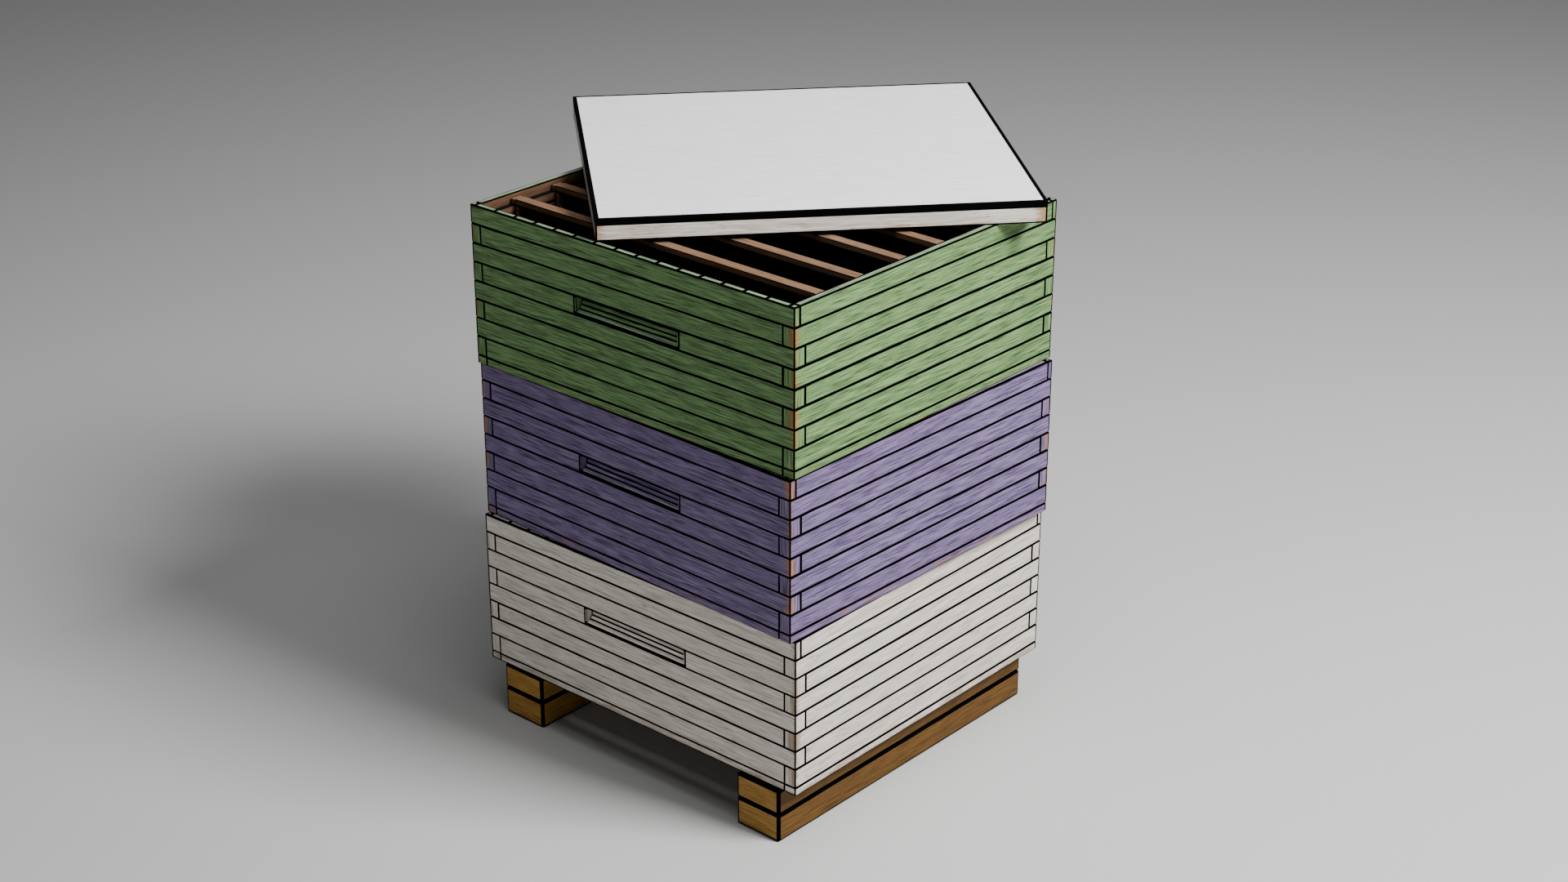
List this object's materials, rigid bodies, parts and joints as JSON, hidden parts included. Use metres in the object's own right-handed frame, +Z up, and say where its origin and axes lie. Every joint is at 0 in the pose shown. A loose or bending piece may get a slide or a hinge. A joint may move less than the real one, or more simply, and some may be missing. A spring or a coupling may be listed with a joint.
{
  "type": "beehive",
  "caption": "Stacked wooden beehive: plank-built painted boxes on low bearers, hanging frames inside, and a flat lid turned askew.",
  "frame": {"origin": "middle of the stand on the ground, under the cross tie", "axes": "+X to the right along the front of the hive, +Y from the front to the back, +Z up"},
  "size_m": [0.6982, 0.7109, 0.6989],
  "materials": {
    "grey_paint": "off-white exterior paint over softwood, worn at the plank ends",
    "purple_paint": "soft purple exterior paint over softwood, worn at the plank ends",
    "green_paint": "mid-green exterior paint over softwood, worn at the plank ends",
    "frame_wood": "bare planed softwood",
    "stand_wood": "oiled, amber-brown sawn timber",
    "floor_wood": "bare thin board",
    "wax": "dark, old wax foundation pressed with cells",
    "lid_paint": "white paint, fine grain showing",
    "black_edging": "black-painted edging strip",
    "lid_wood": "whitewashed softwood, worn brown at the ends"
  },
  "bodies": {
    "stand": {"left_lower_bearer": "stand_wood", "left_upper_bearer": "stand_wood", "right_lower_bearer": "stand_wood", "right_upper_bearer": "stand_wood", "cross_tie": "stand_wood", "floor_panel": "floor_wood"},
    "bottom_box": {"bottom_box_front_wall": "grey_paint", "bottom_box_back_wall": "grey_paint", "bottom_box_left_wall": "grey_paint", "bottom_box_right_wall": "grey_paint", "bottom_box_hand_holds": "grey_paint"},
    "middle_box": {"middle_box_front_wall": "purple_paint", "middle_box_back_wall": "purple_paint", "middle_box_left_wall": "purple_paint", "middle_box_right_wall": "purple_paint", "middle_box_hand_holds": "purple_paint"},
    "top_box": {"top_box_front_wall": "green_paint", "top_box_back_wall": "green_paint", "top_box_left_wall": "green_paint", "top_box_right_wall": "green_paint", "top_box_hand_holds": "green_paint"},
    "bottom_frame_1": {"bottom_frame_1": "frame_wood"},
    "bottom_frame_2": {"bottom_frame_2": "frame_wood"},
    "bottom_frame_3": {"bottom_frame_3": "frame_wood"},
    "bottom_frame_4": {"bottom_frame_4": "frame_wood"},
    "bottom_frame_5": {"bottom_frame_5": "frame_wood"},
    "bottom_frame_6": {"bottom_frame_6": "frame_wood"},
    "middle_frame_1": {"middle_frame_1": "frame_wood"},
    "middle_frame_2": {"middle_frame_2": "frame_wood"},
    "middle_frame_3": {"middle_frame_3": "frame_wood"},
    "middle_frame_4": {"middle_frame_4": "frame_wood"},
    "middle_frame_5": {"middle_frame_5": "frame_wood"},
    "middle_frame_6": {"middle_frame_6": "frame_wood"},
    "top_frame_1": {"top_frame_1_top_bar": "frame_wood", "top_frame_1_lower_bars": "frame_wood", "top_frame_1_foundation": "wax"},
    "top_frame_2": {"top_frame_2_top_bar": "frame_wood", "top_frame_2_lower_bars": "frame_wood", "top_frame_2_foundation": "wax"},
    "top_frame_3": {"top_frame_3_top_bar": "frame_wood", "top_frame_3_lower_bars": "frame_wood", "top_frame_3_foundation": "wax"},
    "top_frame_4": {"top_frame_4_top_bar": "frame_wood", "top_frame_4_lower_bars": "frame_wood", "top_frame_4_foundation": "wax"},
    "top_frame_5": {"top_frame_5_top_bar": "frame_wood", "top_frame_5_lower_bars": "frame_wood", "top_frame_5_foundation": "wax"},
    "top_frame_6": {"top_frame_6_top_bar": "frame_wood", "top_frame_6_lower_bars": "frame_wood", "top_frame_6_foundation": "wax"},
    "lid": {"lid_top_panel": "lid_paint", "lid_edging": "black_edging", "lid_front_rail": "lid_wood", "lid_back_rail": "lid_wood", "lid_side_rails": "lid_wood"}
  },
  "joints": [
    {"name": "bottom_box_lift", "type": "slide", "parent": "stand", "child": "bottom_box", "axis": [0, 0, 1], "range_m": [0, 0.25]},
    {"name": "middle_box_lift", "type": "slide", "parent": "bottom_box", "child": "middle_box", "axis": [0, 0, 1], "range_m": [0, 0.25]},
    {"name": "top_box_lift", "type": "slide", "parent": "middle_box", "child": "top_box", "axis": [0, 0, 1], "range_m": [0, 0.25]},
    {"name": "lid_turn", "type": "hinge", "parent": "top_box", "child": "lid", "pos_m": [-0.16335, -0.00157, 0.6725], "axis": [0, 0, 1], "range_deg": [-48.6, 15]},
    {"name": "bottom_frame_1_slide", "type": "slide", "parent": "bottom_box", "child": "bottom_frame_1", "axis": [-0.0087, 1, 0], "range_m": [-0.036, 0.036]},
    {"name": "bottom_frame_2_slide", "type": "slide", "parent": "bottom_box", "child": "bottom_frame_2", "axis": [-0.0087, 1, 0], "range_m": [-0.036, 0.036]},
    {"name": "bottom_frame_3_slide", "type": "slide", "parent": "bottom_box", "child": "bottom_frame_3", "axis": [-0.0087, 1, 0], "range_m": [-0.036, 0.036]},
    {"name": "bottom_frame_4_slide", "type": "slide", "parent": "bottom_box", "child": "bottom_frame_4", "axis": [-0.0087, 1, 0], "range_m": [-0.036, 0.036]},
    {"name": "bottom_frame_5_slide", "type": "slide", "parent": "bottom_box", "child": "bottom_frame_5", "axis": [-0.0087, 1, 0], "range_m": [-0.036, 0.036]},
    {"name": "bottom_frame_6_slide", "type": "slide", "parent": "bottom_box", "child": "bottom_frame_6", "axis": [-0.0087, 1, 0], "range_m": [-0.036, 0.036]},
    {"name": "middle_frame_1_slide", "type": "slide", "parent": "middle_box", "child": "middle_frame_1", "axis": [0.0192, 0.9998, 0], "range_m": [-0.036, 0.036]},
    {"name": "middle_frame_2_slide", "type": "slide", "parent": "middle_box", "child": "middle_frame_2", "axis": [0.0192, 0.9998, 0], "range_m": [-0.036, 0.036]},
    {"name": "middle_frame_3_slide", "type": "slide", "parent": "middle_box", "child": "middle_frame_3", "axis": [0.0192, 0.9998, 0], "range_m": [-0.036, 0.036]},
    {"name": "middle_frame_4_slide", "type": "slide", "parent": "middle_box", "child": "middle_frame_4", "axis": [0.0192, 0.9998, 0], "range_m": [-0.036, 0.036]},
    {"name": "middle_frame_5_slide", "type": "slide", "parent": "middle_box", "child": "middle_frame_5", "axis": [0.0192, 0.9998, 0], "range_m": [-0.036, 0.036]},
    {"name": "middle_frame_6_slide", "type": "slide", "parent": "middle_box", "child": "middle_frame_6", "axis": [0.0192, 0.9998, 0], "range_m": [-0.036, 0.036]},
    {"name": "top_frame_1_slide", "type": "slide", "parent": "top_box", "child": "top_frame_1", "axis": [0, 1, 0], "range_m": [-0.024, 0.024]},
    {"name": "top_frame_2_slide", "type": "slide", "parent": "top_box", "child": "top_frame_2", "axis": [0, 1, 0], "range_m": [-0.024, 0.024]},
    {"name": "top_frame_3_slide", "type": "slide", "parent": "top_box", "child": "top_frame_3", "axis": [0, 1, 0], "range_m": [-0.024, 0.024]},
    {"name": "top_frame_4_slide", "type": "slide", "parent": "top_box", "child": "top_frame_4", "axis": [0, 1, 0], "range_m": [-0.024, 0.024]},
    {"name": "top_frame_5_slide", "type": "slide", "parent": "top_box", "child": "top_frame_5", "axis": [0, 1, 0], "range_m": [-0.024, 0.024]},
    {"name": "top_frame_6_slide", "type": "slide", "parent": "top_box", "child": "top_frame_6", "axis": [0, 1, 0], "range_m": [-0.024, 0.024]}
  ],
  "couplings": [
    {"joint": "bottom_frame_2_slide", "follows": "bottom_frame_1_slide", "ratio": 1},
    {"joint": "bottom_frame_3_slide", "follows": "bottom_frame_1_slide", "ratio": 1},
    {"joint": "bottom_frame_4_slide", "follows": "bottom_frame_1_slide", "ratio": 1},
    {"joint": "bottom_frame_5_slide", "follows": "bottom_frame_1_slide", "ratio": 1},
    {"joint": "bottom_frame_6_slide", "follows": "bottom_frame_1_slide", "ratio": 1},
    {"joint": "middle_frame_2_slide", "follows": "middle_frame_1_slide", "ratio": 1},
    {"joint": "middle_frame_3_slide", "follows": "middle_frame_1_slide", "ratio": 1},
    {"joint": "middle_frame_4_slide", "follows": "middle_frame_1_slide", "ratio": 1},
    {"joint": "middle_frame_5_slide", "follows": "middle_frame_1_slide", "ratio": 1},
    {"joint": "middle_frame_6_slide", "follows": "middle_frame_1_slide", "ratio": 1}
  ]
}
